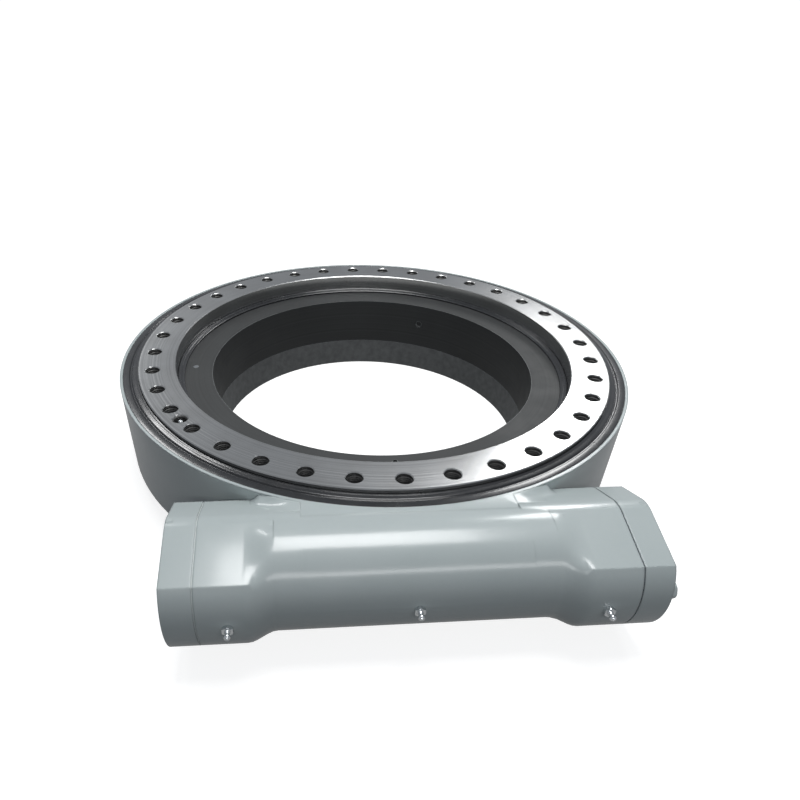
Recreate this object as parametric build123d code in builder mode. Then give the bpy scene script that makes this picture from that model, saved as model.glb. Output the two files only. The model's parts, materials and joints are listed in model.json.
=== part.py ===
"""Enclosed slew drive: a worm turns a large geared ring that runs on one row of balls.

The cast housing is a round drum with a cross tunnel for the worm. The fixed bearing ring is screwed to the
housing from below; the geared ring turns on it and carries the load on its drilled top face. All sizes are
in millimetres. Z runs up the ring's axis, X runs along the worm, and z = 0 is the mounting foot.
"""

import os
from math import atan, atan2, cos, degrees, pi, radians, sin, sqrt, tan

from build123d import *

# ---------------------------------------------------------------- driving dimensions
# cast housing
rim_wall = 3.5  # the drum's wall outside the seal seat
drum_bottom_z = 20.0
rim_z = 124.0
tooth_clearance = 3.0  # between the gear's tips and the chamber
chamber_floor_z = 32.0
foot_radius = 262.0  # the foot carries the fixed ring's seat
seat_z = 37.4
bore_radius = 214.0  # open bore through the middle
bore_foot_radius = 209.0  # the cast bore narrows to this at the foot
seal_space = 19.5  # between the turning ring and the seal seat
seal_seat_z = 112.0
worm_y = -352.0  # worm axis
worm_z = 72.5
tunnel_radius = 56.0
tunnel_bore_radius = 46.0
tunnel_end = 130.0  # half length of the round tunnel
bulge_start = 158.0  # where the blend to the full bearing housing ends
casing_end = 200.0  # half length of the casting along the worm
web_half_width = 105.0
blend_steps = 6  # strips in the blend from the tunnel to the bearing housing
bearing_inner_x = 162.25

# bearing housing outline, across the worm: (towards the ring, up) from the worm axis
back_corner = (64.0, 37.5)
ridge_corner = (17.0, 55.5)
front_corner = (-53.0, 39.5)
front_bulge = -67.0
ridge_round = 9.0

# rings and the ball row
ring_top_z = 130.0
ring_radius = 305.0
ring_bore_radius = 258.5  # wide bore above the fixed ring
ring_step_z = 104.5
ring_gap = 1.5  # between the turning and the fixed ring
ring_bottom_z = 44.5
fixed_ring_top_z = 105.5
fixed_ring_radius = 253.5
ring_inner_radius = fixed_ring_radius + ring_gap
race_radius = fixed_ring_radius + ring_gap / 2
seal_seat_radius = ring_radius + seal_space
drum_radius = seal_seat_radius + rim_wall
race_z = 74.0
ball_radius = 12.5
ball_clearance = 0.3
ball_count = 30
spacer_radius = 8.5
spacer_length = 26.0

# bolt holes
bolt_circle_radius = 287.35
bolt_count = 36
tap_core_radius = 8.75  # core of an M20 thread
tap_depth = 45.0
tap_chamfer = 1.0
lube_angle = -145.0  # lubrication hole, between two tapped holes
lube_radius = 7.2
lube_depth = 15.0
foot_bolt_edge = 20.0  # from the fixed ring's outside to its screws
foot_circle_radius = fixed_ring_radius - foot_bolt_edge
foot_bolt_count = 24
foot_core_radius = 7.0  # core of an M16 thread
foot_tap_depth = 32.0
ring_screw_count = 12
ring_screw_radius = 6.0
ring_screw_reach = 20.0
ring_screw_head_radius = 9.0
ring_screw_head_height = 12.0
screw_clearance = 0.5

# worm gear
module = 5.0
tooth_count = 125
tooth_addendum = 3.5
tooth_dedendum = 4.2
chamber_radius = module * tooth_count / 2 + tooth_addendum + tooth_clearance  # the gear turns in it
tooth_slot = 8.6  # slot width at the pitch circle
thread_width = 6.8  # thread width at the pitch radius
flank_angle = 20.0
tooth_bottom_z = 50.0
tooth_top_z = 95.0
worm_half_length = 38.0  # of the thread
worm_shoulder_radius = 31.0
worm_journal_radius = 25.0
worm_bore_radius = 12.5
worm_bore_depth = 45.0
keyway_width = 8.0
keyway_height = 3.3
input_shaft_end = 214.5
plain_shaft_end = 188.0

# worm bearings: one tapered roller bearing at each end
bearing_radius = 45.0
bearing_width = 21.75
cup_width = 17.0
cone_width = 20.0
roller_count = 16
roller_large_radius = 5.0
roller_small_radius = 4.6
roller_length = 14.0
roller_row_radius = 37.0  # at the large end
roller_angle = 11.0
roller_gap = 0.32

# ring seals
seal_body_width = 8.9  # from the seal's seat to the groove in its top
seal_groove_width = 2.0
seal_groove_flank = 0.5
seal_groove_depth = 1.2
seal_lip_width = 3.0
seal_lip_rise = 0.8
seal_tip_rise = 1.2
inner_seal_foot = 3.5  # what stands on the fixed ring
inner_seal_lip_rise = 4.5
lower_seal_inset = 1.0  # from the foot's edge
lower_seal_width = 4.5

# end covers and their screws
gasket_thickness = 1.0
gasket_inset = 0.8
cover_end = 229.5
spigot_fit = 0.05
spigot_bore_radius = 36.0
cover_screw_places = ((-45.0, 34.0), (17.0, 48.0), (56.0, 30.0))
cover_screw_radius = 3.0
cover_screw_head_radius = 5.0
cover_screw_head_height = 6.0
cover_screw_reach = 16.0
counterbore_extra = 0.4
motor_pilot_radius = 22.25
motor_circle_radius = 41.3
motor_core_radius = 4.25  # core of an M10 thread
motor_tap_depth = 20.0
shaft_seal_inner_z = 204.0
shaft_seal_width = 8.0
lip_clearance = 0.35
shim_thickness = 0.6
plug_place = (-49.0, 4.0)
plug_hex = 18.0
plug_hex_height = 8.0
plug_washer_radius = 10.6
plug_washer_height = 1.6
plug_stud_radius = 5.0
plug_stud_length = 14.0

# grease nipples
nipple_spacing = 172.5
nipple_hex = 10.0
nipple_hex_height = 4.0
nipple_stud_radius = 3.0
nipple_stud_length = 8.0
nipple_neck_radius = 2.3
nipple_head_radius = 3.3
nipple_height = 12.5

# small marks on the fixed ring
pin_place = (-237.0, 3.0)
pin_radius = 3.2
pin_length = 14.0
gauge_hole_place = (1.0, -225.5)
gauge_hole_radius = 2.6
gauge_hole_depth = 4.0
bore_plug_angle = 62.0
bore_plug_z = 75.0
bore_plug_radius = 5.2
bore_plug_length = 12.0

# ---------------------------------------------------------------- derived
gear_pitch_radius = module * tooth_count / 2
gear_tip_radius = gear_pitch_radius + tooth_addendum
gear_root_radius = gear_pitch_radius - tooth_dedendum
centre_distance = -worm_y
worm_pitch_radius = centre_distance - gear_pitch_radius
worm_lead = pi * module
lead_angle = degrees(atan(worm_lead / (2 * pi * worm_pitch_radius)))
flank_slope = tan(radians(flank_angle))
bearing_outer_x = bearing_inner_x + bearing_width
taper_slope = tan(radians(roller_angle))


def ring_of(points):
    """Turns an outline in the radial half plane about the ring's axis."""
    with BuildPart() as ring:
        with BuildSketch(Plane.XZ):
            with BuildLine():
                Polyline(*points, close=True)
            make_face()
        revolve(axis=Axis.Z)
    return ring.part


def shaft_of(points):
    """Turns an outline of (place along the worm, radius) pairs about the worm axis."""
    with BuildPart() as shaft:
        with BuildSketch(Plane.XZ.offset(centre_distance)):
            with BuildLine():
                Polyline(*[(x, worm_z + r) for x, r in points], close=True)
            make_face()
        revolve(axis=Axis((0, worm_y, worm_z), (1, 0, 0)))
    return shaft.part


def across(x):
    """A sketch plane square to the worm axis: its x points at the ring, its y up."""
    return Plane(origin=(x, worm_y, worm_z), x_dir=(0, 1, 0), z_dir=(1, 0, 0))


def radial_plane(angle, radius, z):
    """A sketch plane facing straight out from the ring's axis."""
    out = (cos(radians(angle)), sin(radians(angle)), 0)
    return Plane(origin=(radius * out[0], radius * out[1], z), x_dir=(-out[1], out[0], 0), z_dir=out)


def mirrored(place):
    return (place[0], -place[1])


def towards(start, end, distance):
    """The point at a distance from start on the way to end."""
    length = sqrt((end[0] - start[0]) ** 2 + (end[1] - start[1]) ** 2)
    return (
        start[0] + (end[0] - start[0]) * distance / length,
        start[1] + (end[1] - start[1]) * distance / length,
    )


ridge_a = towards(ridge_corner, back_corner, ridge_round)
ridge_b = towards(ridge_corner, front_corner, ridge_round)
ridge_middle = towards(ridge_corner, (0, 0), ridge_round * 0.18)
outline_points = (
    back_corner, ridge_a, ridge_b, front_corner,
    mirrored(front_corner), mirrored(ridge_b), mirrored(ridge_a), mirrored(back_corner),
)


def on_tunnel(point):
    """The point of the round tunnel in the same direction from the worm axis."""
    length = sqrt(point[0] ** 2 + point[1] ** 2)
    return (point[0] * tunnel_radius / length, point[1] * tunnel_radius / length)


def between(start, end, share):
    return (start[0] + (end[0] - start[0]) * share, start[1] + (end[1] - start[1]) * share)


def casing_section(share=1.0, inset=0.0):
    """The casing across the worm: its front grows from the round tunnel (0) to the bearing housing (1)."""
    p = outline_points
    corner = between(on_tunnel(front_corner), front_corner, share)
    front = between((-tunnel_radius, 0), (front_bulge, 0), share)
    crown = between(on_tunnel(between(p[2], on_tunnel(front_corner), 0.5)), between(p[2], front_corner, 0.5), share)
    with BuildSketch() as section:
        with BuildLine():
            Line(p[0], p[1])
            ThreePointArc(p[1], ridge_middle, p[2])
            if share < 1:
                ThreePointArc(p[2], crown, corner)
            else:
                Line(p[2], corner)
            ThreePointArc(corner, front, mirrored(corner))
            if share < 1:
                ThreePointArc(mirrored(corner), mirrored(crown), p[5])
            else:
                Line(mirrored(corner), p[5])
            ThreePointArc(p[5], mirrored(ridge_middle), p[6])
            Line(p[6], p[7])
            Line(p[7], p[0])
        make_face()
        if inset:
            offset(amount=-inset, kind=Kind.INTERSECTION)
    return section.sketch


def save(piece, name):
    piece.label = name
    export_step(piece, f"parts/{name}.step")


os.makedirs("parts", exist_ok=True)

# ---------------------------------------------------------------- cast housing
with BuildPart() as bearing_casing:
    with BuildSketch(across(web_half_width)):
        add(casing_section(0.0))
    extrude(amount=tunnel_end - web_half_width)
    for i in range(blend_steps):
        for j in (i, i + 1):
            t = j / blend_steps
            with BuildSketch(across(tunnel_end + (bulge_start - tunnel_end) * t)):
                add(casing_section(t * t * (3 - 2 * t)))
        loft(ruled=True)
    with BuildSketch(across(bulge_start)):
        add(casing_section())
    extrude(amount=casing_end - bulge_start)

with BuildPart() as housing:
    with BuildSketch(Plane.XY.offset(drum_bottom_z)):
        Circle(drum_radius)
    extrude(amount=rim_z - drum_bottom_z)
    with BuildSketch():
        Circle(foot_radius)
    extrude(amount=drum_bottom_z)
    with BuildSketch(Plane.XY.offset(drum_bottom_z)):
        with Locations((0, worm_y / 2)):
            Rectangle(2 * web_half_width, centre_distance)
    extrude(amount=rim_z - drum_bottom_z)
    with BuildSketch(across(-tunnel_end)):
        Circle(tunnel_radius)
    extrude(amount=2 * tunnel_end)
    add(bearing_casing.part)
    add(bearing_casing.part.mirror(Plane.YZ))
    # the ring's chamber with its seal seat, and the open bore through the foot
    with BuildSketch(Plane.XZ):
        with BuildLine():
            Polyline(
                (0, -1), (bore_foot_radius, -1), (bore_foot_radius, 0), (bore_radius, seat_z),
                (foot_radius, seat_z), (foot_radius, chamber_floor_z), (chamber_radius, chamber_floor_z),
                (chamber_radius, seal_seat_z), (seal_seat_radius, seal_seat_z),
                (seal_seat_radius, ring_top_z + 10), (0, ring_top_z + 10), close=True,
            )
        make_face()
    revolve(axis=Axis.Z, mode=Mode.SUBTRACT)
    # the worm's bore and the two bearing seats
    with BuildSketch(across(-bearing_inner_x)):
        Circle(tunnel_bore_radius)
    extrude(amount=2 * bearing_inner_x, mode=Mode.SUBTRACT)
    with BuildSketch(across(-casing_end)):
        Circle(bearing_radius)
    extrude(amount=2 * casing_end, mode=Mode.SUBTRACT)
    # cover screw holes, at both ends
    for side in (-1, 1):
        with BuildSketch(across(side * casing_end)):
            for place in cover_screw_places:
                with Locations(place, mirrored(place)):
                    Circle(cover_screw_radius)
        extrude(amount=-side * cover_screw_reach, mode=Mode.SUBTRACT)
    # tapped mounting holes in the foot, and counterbored holes for the fixed ring's screws
    with BuildSketch():
        with PolarLocations(foot_circle_radius, foot_bolt_count):
            Circle(foot_core_radius)
    extrude(amount=foot_tap_depth, mode=Mode.SUBTRACT)
    with BuildSketch():
        with PolarLocations(foot_circle_radius, ring_screw_count, start_angle=180 / foot_bolt_count):
            Circle(ring_screw_radius + screw_clearance)
    extrude(amount=seat_z, mode=Mode.SUBTRACT)
    with BuildSketch():
        with PolarLocations(foot_circle_radius, ring_screw_count, start_angle=180 / foot_bolt_count):
            Circle(ring_screw_head_radius + screw_clearance)
    extrude(amount=ring_screw_head_height + 1, mode=Mode.SUBTRACT)
    # threaded holes for the grease nipples along the front
    for x in (-nipple_spacing, 0, nipple_spacing):
        with BuildSketch(Plane(origin=(x, worm_y, worm_z), x_dir=(1, 0, 0), z_dir=(0, -1, 0))):
            Circle(nipple_stud_radius)
        extrude(amount=-front_bulge + 5, mode=Mode.SUBTRACT)
save(housing.part, "housing")


def foot_screws():
    """The screws that hold the fixed ring down: socket heads in the foot's counterbores."""
    with BuildPart() as screws:
        with BuildSketch(Plane.XY.offset(1)):
            with PolarLocations(foot_circle_radius, ring_screw_count, start_angle=180 / foot_bolt_count):
                Circle(ring_screw_head_radius)
        extrude(amount=ring_screw_head_height)
        with BuildSketch(Plane.XY.offset(1)):
            with PolarLocations(foot_circle_radius, ring_screw_count, start_angle=180 / foot_bolt_count):
                Circle(ring_screw_radius)
        extrude(amount=seat_z - 1 + ring_screw_reach)
        with BuildSketch(Plane.XY.offset(1)):
            with PolarLocations(foot_circle_radius, ring_screw_count, start_angle=180 / foot_bolt_count):
                RegularPolygon(5.0, 6, major_radius=False)
        extrude(amount=6, mode=Mode.SUBTRACT)
    return screws.part


save(foot_screws(), "fixed_ring_screws")

# ---------------------------------------------------------------- fixed ring
with BuildPart() as fixed_ring:
    with BuildSketch(Plane.XZ):
        with BuildLine():
            Polyline(
                (bore_radius, seat_z), (fixed_ring_radius, seat_z), (fixed_ring_radius, fixed_ring_top_z),
                (bore_radius, fixed_ring_top_z), close=True,
            )
        make_face()
        with Locations((race_radius, race_z)):
            Circle(ball_radius + ball_clearance, mode=Mode.SUBTRACT)
    revolve(axis=Axis.Z)
    with BuildSketch(Plane.XY.offset(seat_z)):
        with PolarLocations(foot_circle_radius, ring_screw_count, start_angle=180 / foot_bolt_count):
            Circle(ring_screw_radius)
    extrude(amount=ring_screw_reach, mode=Mode.SUBTRACT)
    with BuildSketch(Plane.XY.offset(fixed_ring_top_z)):
        with Locations(pin_place):
            Circle(pin_radius)
    extrude(amount=-pin_length, mode=Mode.SUBTRACT)
    with BuildSketch(Plane.XY.offset(fixed_ring_top_z)):
        with Locations(gauge_hole_place):
            Circle(gauge_hole_radius)
    extrude(amount=-gauge_hole_depth, mode=Mode.SUBTRACT)
    bore_plug_plane = radial_plane(bore_plug_angle, bore_radius, bore_plug_z)
    with BuildSketch(bore_plug_plane.offset(-3)):
        Circle(bore_plug_radius)
    extrude(amount=3 + bore_plug_length, mode=Mode.SUBTRACT)
save(fixed_ring.part, "fixed_ring")

with BuildPart() as bore_plug:
    with BuildSketch(bore_plug_plane.offset(1)):
        Circle(bore_plug_radius)
    extrude(amount=bore_plug_length - 1)
save(bore_plug.part, "bore_plug")

with BuildPart() as locking_pin:
    with BuildSketch(Plane.XY.offset(fixed_ring_top_z)):
        with Locations(pin_place):
            Circle(pin_radius)
    extrude(amount=-pin_length)
save(locking_pin.part, "locking_pin")

# ---------------------------------------------------------------- geared ring
with BuildPart() as gear_ring:
    with BuildSketch(Plane.XZ):
        with BuildLine():
            Polyline(
                (ring_inner_radius, ring_bottom_z), (ring_radius + 2, ring_bottom_z),
                (gear_tip_radius, tooth_bottom_z), (gear_tip_radius, tooth_top_z), (ring_radius, tooth_top_z),
                (ring_radius, ring_top_z - 1), (ring_radius - 1, ring_top_z),
                (ring_bore_radius + 1, ring_top_z), (ring_bore_radius, ring_top_z - 1),
                (ring_bore_radius, ring_step_z), (ring_inner_radius, ring_step_z), close=True,
            )
        make_face()
        with Locations((race_radius, race_z)):
            Circle(ball_radius + ball_clearance, mode=Mode.SUBTRACT)
    revolve(axis=Axis.Z)
    # tapped holes for the driven structure
    with BuildSketch(Plane.XY.offset(ring_top_z)):
        with PolarLocations(bolt_circle_radius, bolt_count):
            Circle(tap_core_radius)
    extrude(amount=-tap_depth, mode=Mode.SUBTRACT)
    with BuildSketch(Plane.XY.offset(ring_top_z - tap_chamfer)):
        with PolarLocations(bolt_circle_radius, bolt_count):
            Circle(tap_core_radius)
    extrude(amount=tap_chamfer, taper=-45, mode=Mode.SUBTRACT)
    # the lubrication hole and the nipple's thread at its bottom
    lube_plane = Plane(origin=(
        bolt_circle_radius * cos(radians(lube_angle)), bolt_circle_radius * sin(radians(lube_angle)), ring_top_z
    ))
    with BuildSketch(lube_plane):
        Circle(lube_radius)
    extrude(amount=-lube_depth, mode=Mode.SUBTRACT)
    with BuildSketch(lube_plane.offset(-2.5)):
        Circle(lube_radius)
    extrude(amount=2.5, taper=-45, mode=Mode.SUBTRACT)
    with BuildSketch(lube_plane):
        Circle(nipple_stud_radius)
    extrude(amount=-lube_depth - nipple_stud_length - 2, mode=Mode.SUBTRACT)

# one slot between teeth, leaned to the worm's lead angle, then repeated round the ring
with BuildPart() as slot:
    depth = gear_tip_radius + 1 - gear_root_radius
    root_half = tooth_slot / 2 - tooth_dedendum * flank_slope
    tip_half = root_half + depth * flank_slope
    with BuildSketch(Plane.XY.offset(-(tooth_top_z - tooth_bottom_z) * 0.7)):
        with BuildLine():
            Polyline(
                (gear_root_radius, -root_half), (gear_tip_radius + 1, -tip_half),
                (gear_tip_radius + 1, tip_half), (gear_root_radius, root_half), close=True,
            )
        make_face()
    extrude(amount=(tooth_top_z - tooth_bottom_z) * 1.4)
lean = Pos(0, 0, worm_z) * Rot(-lead_angle, 0, 0)
slots = [Rot(0, 0, -90 + 360 * i / tooth_count) * lean * slot.part for i in range(tooth_count)]
geared = gear_ring.part - slots
save(geared, "gear_ring")

# ---------------------------------------------------------------- ball row
with BuildPart() as balls:
    with PolarLocations(race_radius, ball_count):
        with Locations((0, 0, race_z)):
            Sphere(ball_radius)
save(balls.part, "balls")

with BuildPart() as spacers:
    for i in range(ball_count):
        angle = (i + 0.5) * 360 / ball_count
        with BuildSketch(
            Plane(
                origin=(race_radius * cos(radians(angle)), race_radius * sin(radians(angle)), race_z),
                x_dir=(0, 0, 1), z_dir=(-sin(radians(angle)), cos(radians(angle)), 0),
            )
        ):
            Circle(spacer_radius)
        extrude(amount=spacer_length / 2, both=True)
save(spacers.part, "ball_spacers")

# ---------------------------------------------------------------- ring seals
groove_radius = seal_seat_radius - seal_body_width
lip_radius = ring_radius + lip_clearance
lip_root_radius = ring_radius + seal_lip_width
save(ring_of((
    (seal_seat_radius, seal_seat_z), (seal_seat_radius, rim_z), (groove_radius, rim_z),
    (groove_radius - seal_groove_flank, rim_z - seal_groove_depth),
    (groove_radius - seal_groove_width + seal_groove_flank, rim_z - seal_groove_depth),
    (groove_radius - seal_groove_width, rim_z), (lip_root_radius, rim_z + seal_lip_rise),
    (lip_radius, rim_z + seal_tip_rise), (lip_radius, rim_z - 2),
    (lip_root_radius + 1.5, rim_z - 4), (lip_root_radius + 2.5, seal_seat_z),
)), "outer_seal")
inner_foot_radius = fixed_ring_radius - inner_seal_foot
inner_lip_radius = ring_bore_radius - lip_clearance
inner_lip_z = fixed_ring_top_z + inner_seal_lip_rise
save(ring_of((
    (inner_foot_radius, fixed_ring_top_z), (fixed_ring_radius - 0.3, fixed_ring_top_z),
    (fixed_ring_radius, fixed_ring_top_z + 0.9), (inner_lip_radius, fixed_ring_top_z + 1.7),
    (inner_lip_radius, inner_lip_z), (ring_bore_radius - 2.5, inner_lip_z + 0.3),
    (inner_foot_radius, fixed_ring_top_z + 2.1),
)), "inner_seal")
lower_out_radius = foot_radius - lower_seal_inset
lower_in_radius = lower_out_radius - lower_seal_width
save(ring_of((
    (lower_in_radius, seat_z), (lower_out_radius, seat_z), (lower_out_radius, seat_z + 4),
    (lower_out_radius - 1.8, ring_bottom_z - lip_clearance),
    (lower_in_radius + 1.1, ring_bottom_z - lip_clearance), (lower_in_radius, seat_z + 4),
)), "lower_seal")

# ---------------------------------------------------------------- worm
thread_clearance = 0.7
worm_root_radius = centre_distance - gear_tip_radius - thread_clearance
worm_tip_radius = centre_distance - gear_root_radius - thread_clearance
worm_core = shaft_of((
    (-input_shaft_end, 0), (-input_shaft_end, worm_journal_radius - 1.5),
    (-input_shaft_end + 1.5, worm_journal_radius), (-bearing_inner_x, worm_journal_radius),
    (-bearing_inner_x, worm_shoulder_radius), (-worm_half_length - 8, worm_shoulder_radius),
    (-worm_half_length - 3, worm_root_radius), (worm_half_length + 3, worm_root_radius),
    (worm_half_length + 8, worm_shoulder_radius), (bearing_inner_x, worm_shoulder_radius),
    (bearing_inner_x, worm_journal_radius), (plain_shaft_end - 1.5, worm_journal_radius),
    (plain_shaft_end, worm_journal_radius - 1.5), (plain_shaft_end, 0),
))

with BuildPart() as thread:
    turns = 2 * worm_half_length / worm_lead
    helix = Helix(
        pitch=worm_lead, height=turns * worm_lead, radius=worm_pitch_radius,
        center=(-turns * worm_lead / 2, worm_y, worm_z), direction=(1, 0, 0),
    )
    start = helix @ 0
    out = Vector(0, start.Y - worm_y, start.Z - worm_z).normalized()
    inner_step = worm_root_radius - 1.5 - worm_pitch_radius
    outer_step = worm_tip_radius - worm_pitch_radius
    with BuildSketch(Plane(origin=start, x_dir=out, z_dir=helix % 0)) as profile:
        with BuildLine():
            Polyline(
                (inner_step, thread_width / 2 - inner_step * flank_slope),
                (outer_step, thread_width / 2 - outer_step * flank_slope),
                (outer_step, -thread_width / 2 + outer_step * flank_slope),
                (inner_step, -thread_width / 2 + inner_step * flank_slope), close=True,
            )
        make_face()
    sweep(path=helix, is_frenet=True)
# turn the shaft so that the thread crosses the gear side at the middle of its length
middle = helix @ 0.5
phase = degrees(atan2(middle.Z - worm_z, middle.Y - worm_y))
worm_line = Axis((0, worm_y, worm_z), (1, 0, 0))
threaded_shaft = (worm_core + thread.part).rotate(worm_line, -phase)

with BuildPart() as worm:
    add(threaded_shaft)
    # keyed bore for the motor's shaft
    with BuildSketch(across(-input_shaft_end)):
        Circle(worm_bore_radius)
    extrude(amount=worm_bore_depth, mode=Mode.SUBTRACT)
    with BuildSketch(across(-input_shaft_end)):
        with Locations((0, worm_bore_radius)):
            Rectangle(keyway_width, 2 * keyway_height)
    extrude(amount=worm_bore_depth, mode=Mode.SUBTRACT)
save(worm.part, "worm")

# ---------------------------------------------------------------- worm bearings
roller_start = bearing_inner_x + 4.4


def row_radius(x):
    return roller_row_radius - (x - roller_start) * taper_slope


def roller_radius_at(x):
    return roller_large_radius - (x - roller_start) * (roller_large_radius - roller_small_radius) / roller_length


def bearing_line(x, side):
    return row_radius(x) + side * (roller_radius_at(x) / cos(radians(roller_angle)) + roller_gap)


cup_start = bearing_outer_x - cup_width
cone_end = bearing_inner_x + cone_width
rib_end = bearing_inner_x + 2.8
cup = shaft_of((
    (cup_start, bearing_line(cup_start, 1)), (bearing_outer_x, bearing_line(bearing_outer_x, 1)),
    (bearing_outer_x, bearing_radius), (cup_start, bearing_radius),
))
cone = shaft_of((
    (bearing_inner_x, worm_journal_radius), (bearing_inner_x, row_radius(rib_end)),
    (rib_end, row_radius(rib_end)), (rib_end, bearing_line(rib_end, -1)),
    (cone_end, bearing_line(cone_end, -1)), (cone_end, worm_journal_radius),
))
with BuildPart() as rollers:
    for i in range(roller_count):
        angle = radians(360 * (i + 0.5) / roller_count)
        out = Vector(0, cos(angle), sin(angle))
        origin = Vector(roller_start, worm_y, worm_z) + out * roller_row_radius
        along = Vector(1, 0, 0) - out * taper_slope
        with BuildSketch(Plane(origin=origin, x_dir=(0, -sin(angle), cos(angle)), z_dir=along)) as big:
            Circle(roller_large_radius)
        with BuildSketch(
            Plane(origin=origin + along.normalized() * roller_length, x_dir=(0, -sin(angle), cos(angle)), z_dir=along)
        ) as small:
            Circle(roller_small_radius)
        loft()
save(cup, "end_bearing_cup")
save(cone, "end_bearing_cone")
save(rollers.part, "end_bearing_rollers")
save(cup.mirror(Plane.YZ), "input_bearing_cup")
save(cone.mirror(Plane.YZ), "input_bearing_cone")
save(rollers.part.mirror(Plane.YZ), "input_bearing_rollers")

# ---------------------------------------------------------------- end covers
cover_inner_x = casing_end + gasket_thickness
clearance_radius = cover_screw_radius + screw_clearance
counterbore_radius = cover_screw_head_radius + counterbore_extra
counterbore_depth = cover_screw_head_height + 1


def cover_screw_holes(face_x, depth, hole_radius):
    with BuildPart() as holes:
        with BuildSketch(across(face_x)):
            with Locations(*[spot for place in cover_screw_places for spot in (place, mirrored(place))]):
                Circle(hole_radius)
        extrude(amount=depth)
    return holes.part


with BuildPart() as end_cover:
    with BuildSketch(across(cover_inner_x)):
        add(casing_section())
    extrude(amount=cover_end - cover_inner_x)
    with BuildSketch(across(bearing_outer_x + shim_thickness)):
        Circle(bearing_radius - spigot_fit)
        Circle(spigot_bore_radius, mode=Mode.SUBTRACT)
    extrude(amount=cover_inner_x - bearing_outer_x - shim_thickness)
    add(cover_screw_holes(cover_end, cover_inner_x - cover_end, clearance_radius), mode=Mode.SUBTRACT)
    add(cover_screw_holes(cover_end, -counterbore_depth, counterbore_radius), mode=Mode.SUBTRACT)
    with BuildSketch(across(cover_end)):
        with Locations(plug_place):
            Circle(plug_stud_radius)
    extrude(amount=-plug_stud_length - 1, mode=Mode.SUBTRACT)
save(end_cover.part, "end_cover")

with BuildPart() as input_flange:
    with BuildSketch(across(-cover_end)):
        add(casing_section())
    extrude(amount=cover_end - cover_inner_x)
    with BuildSketch(across(-cover_inner_x)):
        Circle(bearing_radius - spigot_fit)
    extrude(amount=cover_inner_x - bearing_outer_x)
    with BuildSketch(across(-bearing_outer_x)):
        Circle(spigot_bore_radius)
    extrude(amount=-(shaft_seal_inner_z + shaft_seal_width + 4 - bearing_outer_x), mode=Mode.SUBTRACT)
    with BuildSketch(across(-cover_end)):
        Circle(motor_pilot_radius)
    extrude(amount=cover_end - bearing_outer_x, mode=Mode.SUBTRACT)
    with BuildSketch(across(-cover_end)):
        with PolarLocations(motor_circle_radius, 4, start_angle=45):
            Circle(motor_core_radius)
    extrude(amount=motor_tap_depth, mode=Mode.SUBTRACT)
    add(cover_screw_holes(-cover_end, cover_end - cover_inner_x, clearance_radius), mode=Mode.SUBTRACT)
    add(cover_screw_holes(-cover_end, counterbore_depth, counterbore_radius), mode=Mode.SUBTRACT)
save(input_flange.part, "input_flange")


def gasket():
    with BuildPart() as sheet:
        with BuildSketch(across(casing_end)):
            add(casing_section(inset=gasket_inset))
            Circle(bearing_radius + 0.5, mode=Mode.SUBTRACT)
        extrude(amount=gasket_thickness)
        add(cover_screw_holes(casing_end, gasket_thickness, clearance_radius), mode=Mode.SUBTRACT)
    return sheet.part


save(gasket(), "end_cover_gasket")
save(gasket().mirror(Plane.YZ), "input_gasket")

with BuildPart() as cover_screws:
    head_x = cover_end - 1
    places = [spot for place in cover_screw_places for spot in (place, mirrored(place))]
    with BuildSketch(across(head_x)):
        with Locations(*places):
            Circle(cover_screw_head_radius)
    extrude(amount=-cover_screw_head_height)
    with BuildSketch(across(head_x)):
        with Locations(*places):
            Circle(cover_screw_radius)
    extrude(amount=-(head_x - casing_end + cover_screw_reach - 2))
    with BuildSketch(across(head_x)):
        with Locations(*places):
            RegularPolygon(2.5, 6, major_radius=False)
    extrude(amount=-3, mode=Mode.SUBTRACT)
save(cover_screws.part, "end_cover_screws")
save(cover_screws.part.mirror(Plane.YZ), "input_flange_screws")

save(shaft_of((
    (bearing_outer_x, 38.0), (bearing_outer_x, bearing_radius),
    (bearing_outer_x + shim_thickness, bearing_radius), (bearing_outer_x + shim_thickness, 38.0),
)), "preload_shim")

seal_outer_z = shaft_seal_inner_z + shaft_seal_width
save(shaft_of((
    (-seal_outer_z, worm_journal_radius + lip_clearance + 2), (-seal_outer_z, spigot_bore_radius),
    (-shaft_seal_inner_z, spigot_bore_radius), (-shaft_seal_inner_z, spigot_bore_radius - 1.5),
    (-seal_outer_z + 2, spigot_bore_radius - 2.5), (-seal_outer_z + 2, worm_journal_radius + lip_clearance + 3),
    (-shaft_seal_inner_z - 1, worm_journal_radius + lip_clearance + 2.2),
    (-shaft_seal_inner_z - 2, worm_journal_radius + lip_clearance),
)), "input_shaft_seal")

with BuildPart() as plug:
    with BuildSketch(across(cover_end)):
        with Locations(plug_place):
            Circle(plug_washer_radius)
    extrude(amount=plug_washer_height)
    with BuildSketch(across(cover_end)):
        with Locations(plug_place):
            RegularPolygon(plug_hex / 2, 6, major_radius=False)
    extrude(amount=plug_hex_height)
    with BuildSketch(across(cover_end)):
        with Locations(plug_place):
            Circle(plug_stud_radius)
    extrude(amount=-plug_stud_length)
save(plug.part, "end_cover_plug")


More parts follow.
